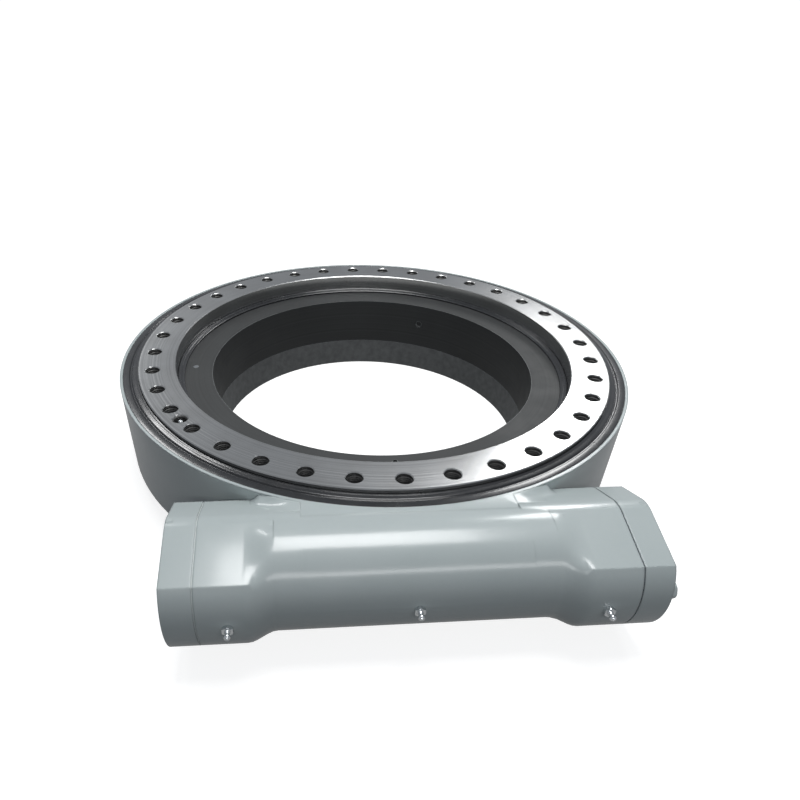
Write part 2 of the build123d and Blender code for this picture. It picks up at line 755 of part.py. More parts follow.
# ---------------------------------------------------------------- grease nipples
def nipple(plane):
    """A hexagon on a threaded stud, with a necked ball head."""
    with BuildPart() as piece:
        with BuildSketch(Plane.XZ):
            with BuildLine():
                Polyline(
                    (0, -nipple_stud_length), (nipple_stud_radius, -nipple_stud_length), (nipple_stud_radius, 0),
                    (nipple_stud_radius, nipple_hex_height), (nipple_neck_radius, nipple_hex_height + 3),
                    (nipple_neck_radius, nipple_height - 2 * nipple_head_radius + 1),
                    (nipple_head_radius, nipple_height - nipple_head_radius - 0.6),
                    (nipple_head_radius, nipple_height - nipple_head_radius + 0.8),
                    (nipple_head_radius * 0.45, nipple_height), (0, nipple_height), close=True,
                )
            make_face()
        revolve(axis=Axis.Z)
        with BuildSketch(Plane.XY):
            RegularPolygon(nipple_hex / 2, 6, major_radius=False)
        extrude(amount=nipple_hex_height)
    return plane.location * piece.part


def front_plane(x, distance):
    return Plane(origin=(x, worm_y - distance, worm_z), x_dir=(1, 0, 0), z_dir=(0, -1, 0))


save(nipple(front_plane(-nipple_spacing, -front_bulge + 0.05)), "grease_nipple_left")
save(nipple(front_plane(0, tunnel_radius + 0.05)), "grease_nipple_middle")
save(nipple(front_plane(nipple_spacing, -front_bulge + 0.05)), "grease_nipple_right")
save(nipple(lube_plane.offset(-lube_depth)), "ring_grease_nipple")
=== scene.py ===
# %% [markdown]
# # An enclosed slew drive
# This notebook dresses a packed slew drive: a round cast housing with a worm across its front, a bright
# steel ring that turns, and a dark steel ring that stays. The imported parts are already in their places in
# metres, so loading them first gives every later step something real to measure.

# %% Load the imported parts
import json
from math import cos, pi, radians, sin, sqrt

import bmesh
import bpy
from mathutils import Matrix, Vector


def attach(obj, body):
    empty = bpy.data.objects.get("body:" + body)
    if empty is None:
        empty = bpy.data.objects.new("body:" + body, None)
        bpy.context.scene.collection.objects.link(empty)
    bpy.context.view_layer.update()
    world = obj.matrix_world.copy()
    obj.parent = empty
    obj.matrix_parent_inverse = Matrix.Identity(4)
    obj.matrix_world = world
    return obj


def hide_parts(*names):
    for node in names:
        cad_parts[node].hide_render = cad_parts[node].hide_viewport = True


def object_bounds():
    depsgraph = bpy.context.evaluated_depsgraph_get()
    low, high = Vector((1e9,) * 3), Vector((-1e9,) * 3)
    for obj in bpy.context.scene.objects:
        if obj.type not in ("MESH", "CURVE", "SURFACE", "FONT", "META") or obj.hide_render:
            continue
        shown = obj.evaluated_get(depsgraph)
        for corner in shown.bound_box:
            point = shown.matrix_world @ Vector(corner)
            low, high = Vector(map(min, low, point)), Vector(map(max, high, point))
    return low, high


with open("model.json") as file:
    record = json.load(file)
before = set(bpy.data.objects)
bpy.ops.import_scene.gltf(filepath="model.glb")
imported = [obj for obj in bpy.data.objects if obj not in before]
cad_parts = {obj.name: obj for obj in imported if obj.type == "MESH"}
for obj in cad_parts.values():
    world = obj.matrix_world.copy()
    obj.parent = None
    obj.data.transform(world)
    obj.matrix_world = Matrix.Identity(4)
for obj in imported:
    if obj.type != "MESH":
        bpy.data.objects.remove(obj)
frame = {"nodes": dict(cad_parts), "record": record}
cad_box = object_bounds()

print("parts:", sorted(frame["nodes"]))

# %% [markdown]
# Colours are easiest to judge as the hex numbers a paint chart or a picture editor shows, but the
# renderer adds light in linear numbers. One function turns one into the other for every hex number below.

# %% Colours from hex


def hex_colour(code):
    """sRGB hex such as '#8A9490' to the linear RGBA that shaders use."""
    parts = [int(code[i : i + 2], 16) / 255 for i in (1, 3, 5)]
    linear = [p / 12.92 if p <= 0.04045 else ((p + 0.055) / 1.055) ** 2.4 for p in parts]
    return (*linear, 1.0)


print("paint mid tone in linear light:", [round(c, 3) for c in hex_colour("#AEB5B1")])

# %% [markdown]
# The camera stands a little left of the middle, close to the worm side, and looks down at about forty
# degrees. It is close for its size, so the near edge of the ring looks wider than the far edge. The small
# shift moves the picture on the sensor without turning the camera, so no wall changes its slant. In
# Blender a camera is only data until an object in the scene holds it, and one function does that here for
# the camera, the lamps and every mesh.

# %% Camera


def add_object(name, data):
    thing = bpy.data.objects.new(name, data)
    bpy.context.scene.collection.objects.link(thing)
    return thing


camera_data = bpy.data.cameras.new("studio_camera")
camera_data.lens = 28.54
camera_data.sensor_width = 36.0
camera_data.shift_x = 0.0752
camera_data.shift_y = 0.1246
camera_data.clip_start = 0.01
camera = add_object("studio_camera", camera_data)
camera_right = Vector((0.99716, -0.07400, 0.01395))
camera_forward = Vector((0.06577, 0.76557, -0.63999)).normalized()
camera_up = camera_right.cross(camera_forward).normalized()
camera_right = camera_forward.cross(camera_up)
turn = Matrix((camera_right, camera_up, -camera_forward)).transposed().to_4x4()
camera.matrix_world = Matrix.Translation((-0.10675, -0.78017, 0.51724)) @ turn
bpy.context.scene.camera = camera
bpy.context.scene.view_settings.view_transform = "Standard"
print("camera height above the floor:", round(camera.location.z, 3), "m")

# %% [markdown]
# The floor, the world and every finish are built from nodes. One function adds a node with its settings,
# values and links, which keeps each shader short enough to read.

# %% Nodes in one line


def put(tree, kind, values=None, links=None, **settings):
    """Adds one node: settings are its properties, values its inputs, links its wired inputs."""
    node = tree.nodes.new(kind)
    for key, value in settings.items():
        setattr(node, key, value)
    for key, value in (values or {}).items():
        node.inputs[key].default_value = value
    for key, socket in (links or {}).items():
        tree.links.new(socket, node.inputs[key])
    return node


def empty_material(name):
    material = bpy.data.materials.new(name)
    material.use_nodes = True
    material.node_tree.nodes.clear()
    return material, material.node_tree


print("node helper:", put.__name__)

# %% [markdown]
# Product pictures of machine parts are lit by large soft lamps over a white sweep. Four area lamps do
# that here. The camera sees the floor and the world as white, but for the soft shadow that shows where the
# foot stands. Polished metal sees them fainter, and to all other light they are dim, which keeps the
# shaded walls dark.

# %% Floor and world


def seen_share(tree, mirror_share):
    """1 to the camera, mirror_share to mirrors, and 0 to all other light."""
    path = put(tree, "ShaderNodeLightPath")
    mirror = put(tree, "ShaderNodeMath", {1: mirror_share}, {0: path.outputs["Is Glossy Ray"]},
                 operation="MULTIPLY")
    return put(tree, "ShaderNodeMath", links={0: path.outputs["Is Camera Ray"], 1: mirror.outputs[0]},
               operation="MAXIMUM").outputs[0]


def studio_white():
    """To the camera it takes a shadow near the part and glows further away; to other light it is dark grey."""
    material, tree = empty_material("pale_sweep")
    matt = put(tree, "ShaderNodeBsdfDiffuse", {"Color": hex_colour("#F4F4F2")})
    dim = put(tree, "ShaderNodeBsdfDiffuse", {"Color": hex_colour("#2E3032")})
    glow = put(tree, "ShaderNodeEmission", {"Color": (1, 1, 1, 1), "Strength": 1.66})
    where = put(tree, "ShaderNodeTexCoord")
    away = put(tree, "ShaderNodeVectorMath", links={0: where.outputs["Object"]}, operation="LENGTH")
    fade = put(tree, "ShaderNodeMapRange", {"From Min": 0.7, "From Max": 2.2, "To Min": 0.5, "To Max": 1.0},
               {"Value": away.outputs["Value"]})
    lit = put(tree, "ShaderNodeMixShader", links={0: fade.outputs[0], 1: matt.outputs[0], 2: glow.outputs[0]})
    choose = put(tree, "ShaderNodeMixShader", links={
        0: seen_share(tree, 0.30), 1: dim.outputs[0], 2: lit.outputs[0]})
    put(tree, "ShaderNodeOutputMaterial", links={"Surface": choose.outputs[0]})
    return material


floor_mesh = bpy.data.meshes.new("floor")
reach = 6.0
floor_mesh.from_pydata(
    [(-reach, -reach, 0), (reach, -reach, 0), (reach, reach, 0), (-reach, reach, 0)], [], [(0, 1, 2, 3)]
)
floor = add_object("floor", floor_mesh)
floor.location.z = cad_box[0][2] - 0.0003
floor_mesh.materials.append(studio_white())

world = bpy.data.worlds.new("studio")
bpy.context.scene.world = world
world.use_nodes = True
sky = world.node_tree
sky.nodes.clear()
dim = put(sky, "ShaderNodeBackground", {"Color": hex_colour("#CFE0F8"), "Strength": 0.17})
white = put(sky, "ShaderNodeBackground", {"Color": (1, 1, 1, 1), "Strength": 1.06})
sky_seen = put(sky, "ShaderNodeMixShader", links={
    0: seen_share(sky, 0.25), 1: dim.outputs[0], 2: white.outputs[0]})
put(sky, "ShaderNodeOutputWorld", links={"Surface": sky_seen.outputs[0]})
print("floor height:", round(floor.location.z, 4), "m")

# %% [markdown]
# One large lamp hangs over the drive. Two narrow ones behind it are there for the bright fans on the turned
# ring, and a wide strip in front is for the worm casing. Each is turned to look at its target.

# %% Lamps


def lamp(name, place, target, size, watts):
    data = bpy.data.lights.new(name, "AREA")
    data.shape = "RECTANGLE"
    data.size, data.size_y = size
    data.energy = watts
    light = add_object(name, data)
    light.location = place
    light.rotation_euler = (Vector(target) - Vector(place)).to_track_quat("-Z", "Y").to_euler()


lamp("overhead_softbox", (0.1, 0.0, 1.9), (0, 0, 0.1), (0.9, 0.9), 26)
lamp("back_right_window", (1.1, 1.6, 1.5), (0, 0, 0.1), (0.35, 0.6), 8)
lamp("back_left_window", (-0.9, 1.3, 1.6), (0, 0, 0.1), (0.2, 0.7), 5)
lamp("front_strip", (0.1, -2.0, 1.25), (0, -0.3, 0.1), (1.8, 0.25), 8)

# %% [markdown]
# Every finish below starts from one Principled shader. A helper builds it with its colour, roughness and
# bump wired in, so that each material cell only says what is special about that surface.

# %% Shader helper


def surface(name, base, roughness, metallic=0.0, bump=None, coat=0.0, specular=0.5):
    """base and roughness are functions that take the tree and return a socket or a plain value."""
    material, tree = empty_material(name)
    shader = put(tree, "ShaderNodeBsdfPrincipled", {
        "Metallic": metallic, "Coat Weight": coat, "Coat Roughness": 0.12, "Specular IOR Level": specular})
    for key, maker in (("Base Color", base), ("Roughness", roughness)):
        made = maker(tree) if callable(maker) else maker
        if isinstance(made, bpy.types.NodeSocket):
            tree.links.new(made, shader.inputs[key])
        else:
            shader.inputs[key].default_value = made
    if bump:
        tree.links.new(bump(tree), shader.inputs["Normal"])
    put(tree, "ShaderNodeOutputMaterial", links={"Surface": shader.outputs[0]})
    return material


def place(tree, scale=(1, 1, 1)):
    where = put(tree, "ShaderNodeTexCoord")
    return put(tree, "ShaderNodeMapping", {"Scale": scale}, {"Vector": where.outputs["Object"]}).outputs[0]


def noise(tree, size_mm, detail=3.0, stretch=(1, 1, 1)):
    """Noise whose lumps are about size_mm across."""
    return put(tree, "ShaderNodeTexNoise", {"Scale": 1000.0 / size_mm, "Detail": detail},
               {"Vector": place(tree, stretch)}).outputs["Fac"]


def ramp(tree, factor, stops):
    node = put(tree, "ShaderNodeValToRGB", links={"Fac": factor})
    elements = node.color_ramp.elements
    while len(elements) < len(stops):
        elements.new(0.5)
    for element, (at, code) in zip(elements, stops):
        element.position = at
        element.color = hex_colour(code) if isinstance(code, str) else (code, code, code, 1)
    return node.outputs["Color"]


def mix(tree, factor, a, b, blend="MIX"):
    node = put(tree, "ShaderNodeMix", data_type="RGBA", blend_type=blend)
    for socket, value in ((node.inputs[0], factor), (node.inputs[6], a), (node.inputs[7], b)):
        if isinstance(value, bpy.types.NodeSocket):
            tree.links.new(value, socket)
        else:
            socket.default_value = value
    return node.outputs[2]


def height_bump(tree, height, strength, distance_mm):
    return put(tree, "ShaderNodeBump", {"Strength": strength, "Distance": distance_mm / 1000},
               {"Height": height}).outputs[0]


def worn_edges(tree, radius_mm=1.2):
    """White where an edge is, from the difference between the true and a rounded normal."""
    rounded = put(tree, "ShaderNodeBevel", {"Radius": radius_mm / 1000}, samples=6)
    true = put(tree, "ShaderNodeNewGeometry")
    same = put(tree, "ShaderNodeVectorMath", links={0: rounded.outputs[0], 1: true.outputs["Normal"]},
               operation="DOT_PRODUCT")
    return put(tree, "ShaderNodeMapRange", {"From Min": 0.995, "From Max": 0.90},
               {"Value": same.outputs["Value"]}).outputs[0]


print("shader helpers:", ", ".join(f.__name__ for f in (surface, place, noise, ramp, mix, height_bump, worn_edges)))

# %% [markdown]
# The housing is grey cast iron under one coat of a pale grey machine enamel with a little green in it.
# Sprayed enamel on a casting keeps a fine orange peel and the softened lumps of the sand mould below it, so
# there are two bumps: one about 2.5 mm across and one about 30 mm across. Gloss varies over some 40 mm. A
# Bevel node rounds every edge in the shading only, as paint does.

# %% Sprayed enamel on cast iron


def enamel_colour(tree):
    slow = ramp(tree, noise(tree, 90, 3), [(0.25, "#ACB5B4"), (0.75, "#B3BBBA")])
    dust = ramp(tree, noise(tree, 5.0, 3), [(0.25, "#AAB3B2"), (0.75, "#B1B9B8")])
    return mix(tree, 0.20, slow, dust)


def enamel_roughness(tree):
    return ramp(tree, noise(tree, 40, 3), [(0.2, 0.22), (0.8, 0.27)])


def enamel_bump(tree):
    peel = put(tree, "ShaderNodeMath", {1: 0.12}, {0: noise(tree, 2.5, 2)}, operation="MULTIPLY").outputs[0]
    both = put(tree, "ShaderNodeMath", links={0: peel, 1: noise(tree, 30, 2)}, operation="ADD").outputs[0]
    rounded = put(tree, "ShaderNodeBevel", {"Radius": 0.0026}, samples=6)
    bumped = put(tree, "ShaderNodeBump", {"Strength": 0.22, "Distance": 0.0010},
                 {"Height": both, "Normal": rounded.outputs[0]})
    return bumped.outputs[0]


enamel = surface("sprayed_enamel_on_cast_iron", enamel_colour, enamel_roughness, bump=enamel_bump, coat=0.30)
print("enamel nodes:", len(enamel.node_tree.nodes))

# %% [markdown]
# The turning ring is taken as steel finished on a lathe. Each pass of the tool leaves a groove round it, so
# a highlight is stretched across the grooves into a bright fan. The grooves are drawn as circles with a
# pitch of 1.1 mm, coarser than a tool's usual feed, because a finer one would vanish at this distance.

# %% Turned steel


def along_profile(tree):
    """Distance from the ring's axis plus height, in metres: it grows across flats and up walls alike."""
    parts = put(tree, "ShaderNodeSeparateXYZ", links={0: place(tree)})
    flat = put(tree, "ShaderNodeCombineXYZ", links={0: parts.outputs[0], 1: parts.outputs[1]})
    radius = put(tree, "ShaderNodeVectorMath", links={0: flat.outputs[0]}, operation="LENGTH")
    return put(tree, "ShaderNodeMath", links={0: radius.outputs["Value"], 1: parts.outputs[2]},
               operation="ADD").outputs[0]


def lathe_marks(tree, pitch_mm, detail=3.0):
    """Noise that changes only across the ring: concentric tool marks."""
    rings = put(tree, "ShaderNodeMath", {1: 1000.0 / pitch_mm}, {0: along_profile(tree)}, operation="MULTIPLY")
    return put(tree, "ShaderNodeTexNoise", {"Scale": 1.0, "Detail": detail}, {"W": rings.outputs[0]},
               noise_dimensions="1D").outputs["Fac"]


def turned_colour(tree):
    marks = ramp(tree, lathe_marks(tree, 1.6), [(0.30, "#ADAEAE"), (0.52, "#B7B8B8"), (0.75, "#C2C3C3")])
    stain = ramp(tree, noise(tree, 45, 4), [(0.40, "#A9A8A5"), (0.62, "#BEBFBE")])
    return mix(tree, 0.30, marks, stain)


def turned_roughness(tree):
    return ramp(tree, lathe_marks(tree, 2.6, 2.0), [(0.3, 0.21), (0.7, 0.27)])


def turned_bump(tree):
    return height_bump(tree, lathe_marks(tree, 1.1), 0.14, 0.08)


def radial_streaks(material, amount):
    """Stretches each highlight across the tool marks, as grooves do."""
    tree = material.node_tree
    shader = next(n for n in tree.nodes if n.type == "BSDF_PRINCIPLED")
    shader.inputs["Anisotropic"].default_value = amount
    around = put(tree, "ShaderNodeTangent", direction_type="RADIAL", axis="Z")
    tree.links.new(around.outputs[0], shader.inputs["Tangent"])


turned_steel = surface("lathe_turned_steel", turned_colour, turned_roughness, 1.0, turned_bump)
radial_streaks(turned_steel, 0.75)
print("turned steel nodes:", len(turned_steel.node_tree.nodes))

# %% [markdown]
# The fixed ring is the same steel with a thin dark oil film over its top. It reads as a dark grey face with
# light, rubbed edges, so its colour runs from the film to bare metal where the edge mask says so.

# %% Oiled dark steel


def oiled_colour(tree):
    film = ramp(tree, lathe_marks(tree, 3.0), [(0.25, "#303131"), (0.75, "#3E4040")])
    smear = ramp(tree, noise(tree, 60, 3), [(0.40, "#303131"), (0.70, "#3C3E3E")])
    return mix(tree, worn_edges(tree, 0.8), mix(tree, 0.4, film, smear), hex_colour("#8E9292"))


oiled_steel = surface(
    "oiled_dark_steel", oiled_colour, lambda t: ramp(t, noise(t, 30, 3), [(0.3, 0.50), (0.7, 0.62)]),
    0.20, lambda t: height_bump(t, lathe_marks(t, 1.4), 0.20, 0.10),
)
# dark grey bare iron for the bore through the foot: its darkness is painted shade in the bore
bore_iron_painted_shade = surface(
    "bare_iron_with_painted_shade", lambda t: ramp(t, noise(t, 8, 4), [(0.3, "#5E6060"), (0.7, "#6E7070")]), 0.55, 0.3,
    lambda t: height_bump(t, lathe_marks(t, 1.4), 0.15, 0.08),
)
# dark grey for the tapped holes' walls and threads: painted shade inside the holes
hole_steel_painted_shade = surface(
    "thread_steel_painted_shade", lambda t: ramp(t, noise(t, 2, 2), [(0.3, "#4A4A49"), (0.7, "#646463")]), 0.5, 0.8,
)
print("dark metals:", oiled_steel.name, bore_iron_painted_shade.name, hole_steel_painted_shade.name)

# %% [markdown]
# The seals are taken as nitrile rubber. Rubber is nearly black, but a light film of grease gives it a
# sheen, so it has a low roughness, a thin coat and a faint unevenness about 20 mm across.

# %% Nitrile rubber, paper, nylon, ground steel, black oxide and plated steel
rubber = surface(
    "nitrile_rubber", lambda t: ramp(t, noise(t, 12, 3), [(0.3, "#141517"), (0.7, "#1C1E21")]),
    lambda t: ramp(t, noise(t, 25, 3), [(0.3, 0.20), (0.7, 0.28)]), coat=0.5,
    bump=lambda t: height_bump(t, noise(t, 20, 2), 0.10, 0.3),
)
paper = surface("gasket_paper", lambda t: ramp(t, noise(t, 1.2, 2), [(0.3, "#6F6A5C"), (0.7, "#8A8577")]), 0.85)
nylon = surface("cast_nylon", lambda t: ramp(t, noise(t, 6, 2), [(0.3, "#DAD6C8"), (0.7, "#E6E2D6")]), 0.45)
ground_steel = surface(
    "ground_bearing_steel", lambda t: ramp(t, noise(t, 5, 3), [(0.3, "#AEB1B3"), (0.7, "#C4C7C9")]),
    lambda t: ramp(t, noise(t, 3, 2), [(0.3, 0.16), (0.7, 0.26)]), 1.0,
)
black_oxide = surface(
    "black_oxide_screw_steel", lambda t: ramp(t, noise(t, 2, 2), [(0.3, "#26282A"), (0.7, "#343638")]),
    0.42, 0.9,
)
zinc = surface(
    "bright_zinc_plate", lambda t: ramp(t, noise(t, 2.5, 2), [(0.3, "#C9CDCF"), (0.7, "#E2E5E6")]),
    lambda t: ramp(t, noise(t, 1.5, 2), [(0.3, 0.14), (0.7, 0.26)]), 1.0,
)
finishes = {
    "housing_paint": enamel, "dark_steel": oiled_steel, "turned_steel": turned_steel,
    "bright_steel": ground_steel, "black_screw": black_oxide, "seal_rubber": rubber,
    "gasket_paper": paper, "spacer_nylon": nylon, "nipple_chrome": zinc,
}
slot_of = {part["node"]: part["material_slot"] for part in frame["record"]["subparts"]}
for name, node in frame["nodes"].items():
    node.data.materials.clear()
    node.data.materials.append(finishes[slot_of[name]])
# the joint at the motor end is taken as paint run over it, drawn paler than the enamel as a painted highlight on its
# bead, and the other joint is a dark one
frame["nodes"]["input_gasket"].data.materials[0] = surface(
    "joint_paint_and_painted_highlight", lambda t: ramp(t, noise(t, 4, 2), [(0.3, "#BFC6C4"), (0.7, "#CBD1CF")]), 0.4)
frame["nodes"]["end_cover_gasket"].data.materials[0] = surface(
    "dark_sealing_compound", lambda t: ramp(t, noise(t, 4, 2), [(0.3, "#2C333B"), (0.7, "#39424B")]), 0.5)
print("finishes:", len(finishes))

# %% [markdown]
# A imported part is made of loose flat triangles, so its round walls show facets. A copy whose points are
# merged, with smooth shading that stops at every edge sharper than 30 degrees, keeps the shape and loses
# the facets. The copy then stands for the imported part.

# %% Smooth copies of the castings


def body_of(node_name):
    for body, nodes in frame["record"]["behaviour"]["bodies"].items():
        if node_name in nodes:
            return body


def finish_piece(piece, stands_for, sharp_degrees=30):
    mesh = piece.data
    mesh.shade_smooth()
    form = bmesh.new()
    form.from_mesh(mesh)
    for edge in form.edges:
        edge.smooth = len(edge.link_faces) == 2 and edge.calc_face_angle(0) < radians(sharp_degrees)
    form.to_mesh(mesh)
    form.free()
    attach(piece, body_of(stands_for[0]))
    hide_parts(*stands_for)


def smooth_copy(node_name, name):
    source = frame["nodes"][node_name]
    mesh = source.data.copy()
    form = bmesh.new()
    form.from_mesh(mesh)
    bmesh.ops.remove_doubles(form, verts=form.verts, dist=2e-6)
    form.to_mesh(mesh)
    form.free()
    mesh.name = name
    piece = add_object(name, mesh)
    mesh.materials.clear()
    mesh.materials.append(finishes[slot_of[node_name]])
    finish_piece(piece, [node_name])
    return piece


casting = smooth_copy("housing", "cast_housing")
# the bore through the foot is taken as machined after painting, so its wall is bare iron, and its dark grey is painted
# shade inside the bore
bore_from, bore_to = 0.205, 0.216
casting.data.materials.append(bore_iron_painted_shade)
for face in casting.data.polygons:
    away = Vector(face.center[:2])
    if bore_from < away.length < bore_to and face.normal.to_2d().dot(away) < 0 and abs(face.normal.z) < 0.5:
        face.material_index = 1
smooth_copy("input_flange", "cast_input_flange")
smooth_copy("end_cover", "cast_end_cover")
print("casting faces:", len(casting.data.polygons))

# %% [markdown]
# Rings and seals are turned or extruded along a circle, so they are drawn the same way: an outline of
# (radius, height) points goes round the axis. Enough steps keep the outline of the big circle smooth. A
# shape is built as a bmesh, and mesh_from turns it into a mesh when it is done.

# %% Turned rings


def mesh_from(form, name):
    mesh = bpy.data.meshes.new(name)
    form.to_mesh(mesh)
    form.free()
    return mesh


def turned_ring(name, outline_mm, steps=360):
    """A closed ring from an outline in millimetres, going round so that its faces point outwards."""
    form = bmesh.new()
    loops = []
    for i in range(steps):
        angle = 2 * pi * i / steps
        loops.append([form.verts.new((r * cos(angle) / 1000, r * sin(angle) / 1000, z / 1000)) for r, z in outline_mm])
    count = len(outline_mm)
    for i in range(steps):
        a, b = loops[i], loops[(i + 1) % steps]
        for j in range(count):
            k = (j + 1) % count
            form.faces.new((a[j], b[j], b[k], a[k]))
    bmesh.ops.recalc_face_normals(form, faces=form.faces)
    return add_object(name, mesh_from(form, name))


def rounded(corners, steps=4):
    """Rounds each (r, z, radius) corner of an outline with a short arc."""
    points = []
    for i, (r, z, size) in enumerate(corners):
        here = Vector((r, z))
        if size <= 0:
            points.append((r, z))
            continue
        before = Vector(corners[i - 1][:2]) - here
        after = Vector(corners[(i + 1) % len(corners)][:2]) - here
        start, end = here + before.normalized() * size, here + after.normalized() * size
        for s in range(steps + 1):
            t = s / steps
            p = start * (1 - t) ** 2 + here * 2 * t * (1 - t) + end * t ** 2
            points.append((p.x, p.y))
    return points


seal_seat, rim_z, collar = 324.5, 124.0, 305.0
outer_seal = turned_ring("outer_lip_seal", rounded([
    (seal_seat, 112, 0), (seal_seat, 123.6, 0.8), (316.6, 124.0, 0.5), (315.6, 122.6, 0.5), (313.8, 122.6, 0.5),
    (312.8, 124.2, 0.8), (308.5, 124.6, 0.8), (collar + 0.4, 125.3, 0.3), (collar + 0.4, 122.4, 0.2),
    (309.5, 119.5, 0.5), (310.5, 112, 0)]))
outer_seal.data.materials.append(rubber)
finish_piece(outer_seal, ["outer_seal"], 50)
inner_seal = turned_ring("inner_lip_seal", rounded([
    (250.0, 105.5, 0), (253.2, 105.5, 0), (253.5, 106.4, 0.2), (258.15, 107.2, 0.3), (258.15, 110.0, 0.4),
    (256.4, 110.3, 0.5), (254.6, 109.2, 0.5), (252.6, 109.0, 0.6), (250.0, 107.6, 0.6)]))
inner_seal.data.materials.append(rubber)
finish_piece(inner_seal, ["inner_seal"], 50)
smooth_copy("fixed_ring", "fixed_bearing_ring")
gear_ring = smooth_copy("gear_ring", "turning_ring")
# the drilled walls below their chamfers are dull and get the threads' dark grey, which is painted shade inside the
# holes
holes_from, holes_to, chamfer_z = 0.27, 0.30, 0.1289
gear_ring.data.materials.append(hole_steel_painted_shade)
for face in gear_ring.data.polygons:
    away = Vector(face.center[:2]).length
    if holes_from < away < holes_to and face.center.z < chamfer_z:
        face.material_index = 1
print("seal points:", len(outer_seal.data.vertices))

# %% [markdown]
# Each tapped hole shows its thread. A thread is one small shape repeated 36 times on a circle, which is
# work for Geometry Nodes: a short helix with a pointed section is set on every point of a circle, and the
# copies are made real at the end, because the export can't carry copies that only point at a shape.

# %% One thread, as a helix with a pointed section


def thread_mesh(name, core_mm, pitch_mm, turns, depth_mm, steps=28):
    """A helical ridge with a pointed crest that stands out of the hole's wall towards its axis."""
    form = bmesh.new()
    rows = []
    total = int(turns * steps)
    for i in range(total + 1):
        angle = 2 * pi * i / steps
        z = -pitch_mm * i / steps
        fade = min(1.0, i / steps, (total - i) / steps)
        foot, half = core_mm + 0.25, pitch_mm * 0.46
        section = ((foot, half), (core_mm - depth_mm * fade, 0), (foot, -half))
        rows.append([form.verts.new((r * cos(angle) / 1000, r * sin(angle) / 1000, (z + dz) / 1000))
                     for r, dz in section])
    for a, b in zip(rows, rows[1:]):
        for j in range(3):
            k = (j + 1) % 3
            form.faces.new((a[j], b[j], b[k], a[k]))
    form.faces.new(rows[0])
    form.faces.new(list(reversed(rows[-1])))
    bmesh.ops.recalc_face_normals(form, faces=form.faces)
    return mesh_from(form, name)


hole_thread = thread_mesh("m20_thread", core_mm=8.72, pitch_mm=2.5, turns=11, depth_mm=0.9)
print("thread faces:", len(hole_thread.polygons))

# %% [markdown]
# Both node trees here start and end alike. A tree opens with its named inputs. It closes by making the
# copies real and giving them their finish. The modifier's result is then taken as a plain mesh, and the
# modifier and its pattern shape go away.

# %% What the two node trees share


def tree_with_inputs(name, inputs):
    """A node tree with one geometry output and the named inputs, and the sockets that carry them."""
    tree = bpy.data.node_groups.new(name, "GeometryNodeTree")
    tree.interface.new_socket("Geometry", in_out="OUTPUT", socket_type="NodeSocketGeometry")
    for label, kind in inputs:
        tree.interface.new_socket(label, in_out="INPUT", socket_type=kind)
    return tree, put(tree, "NodeGroupInput").outputs


def finish_tree(tree, copies, material):
    real = put(tree, "GeometryNodeRealizeInstances", links={0: copies.outputs[0]})
    finish = put(tree, "GeometryNodeSetMaterial", links={"Geometry": real.outputs[0], "Material": material})
    put(tree, "NodeGroupOutput", links={0: finish.outputs[0]})


def bake_copies(name, base, tree, shape, wanted, body):
    """Runs the tree on the base mesh with its inputs set, and keeps the result as a plain mesh."""
    source = add_object(name + "_shape", shape)
    carrier = add_object(name, base)
    modifier = carrier.modifiers.new("copies", "NODES")
    modifier.node_group = tree
    wanted = {**wanted, "Shape": source}
    for item in tree.interface.items_tree:
        if item.item_type == "SOCKET" and item.in_out == "INPUT" and item.name in wanted:
            modifier[item.identifier] = wanted[item.name]
    evaluated = carrier.evaluated_get(bpy.context.evaluated_depsgraph_get())
    mesh = bpy.data.meshes.new_from_object(evaluated)
    carrier.modifiers.clear()
    carrier.data = mesh
    bpy.data.objects.remove(source)
    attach(carrier, body)
    print(carrier.name, "faces:", len(mesh.polygons))
    return carrier


print("tree helpers:", tree_with_inputs.__name__, finish_tree.__name__, bake_copies.__name__)

# %% [markdown]
# The holes lie evenly on a circle, so the points are those of a circle whose radius, height, count and turn
# are the tree's inputs. The same function could set any other ring of equal details.

# %% Copies round a circle, with Geometry Nodes


def copies_on_circle(name, shape, radius, height, count, turn_degrees, material, body):
    tree, given = tree_with_inputs(name, (
        ("Circle Radius", "NodeSocketFloat"), ("Height", "NodeSocketFloat"), ("Count", "NodeSocketInt"),
        ("Turn", "NodeSocketFloat"), ("Shape", "NodeSocketObject"), ("Finish", "NodeSocketMaterial")))
    circle = put(tree, "GeometryNodeMeshCircle", links={
        "Vertices": given["Count"], "Radius": given["Circle Radius"]})
    lift = put(tree, "ShaderNodeCombineXYZ", links={"Z": given["Height"]})
    spin = put(tree, "ShaderNodeCombineXYZ", links={"Z": given["Turn"]})
    placed = put(tree, "GeometryNodeTransform", links={
        "Geometry": circle.outputs[0], "Translation": lift.outputs[0], "Rotation": spin.outputs[0]})
    info = put(tree, "GeometryNodeObjectInfo", links={"Object": given["Shape"]})
    copies = put(tree, "GeometryNodeInstanceOnPoints", links={
        "Points": placed.outputs[0], "Instance": info.outputs["Geometry"]})
    finish_tree(tree, copies, given["Finish"])
    wanted = {"Circle Radius": radius, "Height": height, "Count": count, "Turn": radians(turn_degrees),
              "Finish": material}
    return bake_copies(name, bpy.data.meshes.new(name + "_base"), tree, shape, wanted, body)


bolt_circle = 0.28735
# the threads take the same dark grey, painted shade inside the holes
threads = copies_on_circle(
    "ring_hole_threads", hole_thread, radius=bolt_circle, height=0.1278, count=36, turn_degrees=0,
    material=hole_steel_painted_shade, body="ring")

# %% [markdown]
# Small fittings are turned from bar, and some have a hexagon. A profile of (radius, height) points that
# may touch the axis goes round in few steps, and a hexagon has its corners turned off. Both add to one
# shape under construction, which object_from cleans and places.

# %% Turned profiles and hexagons


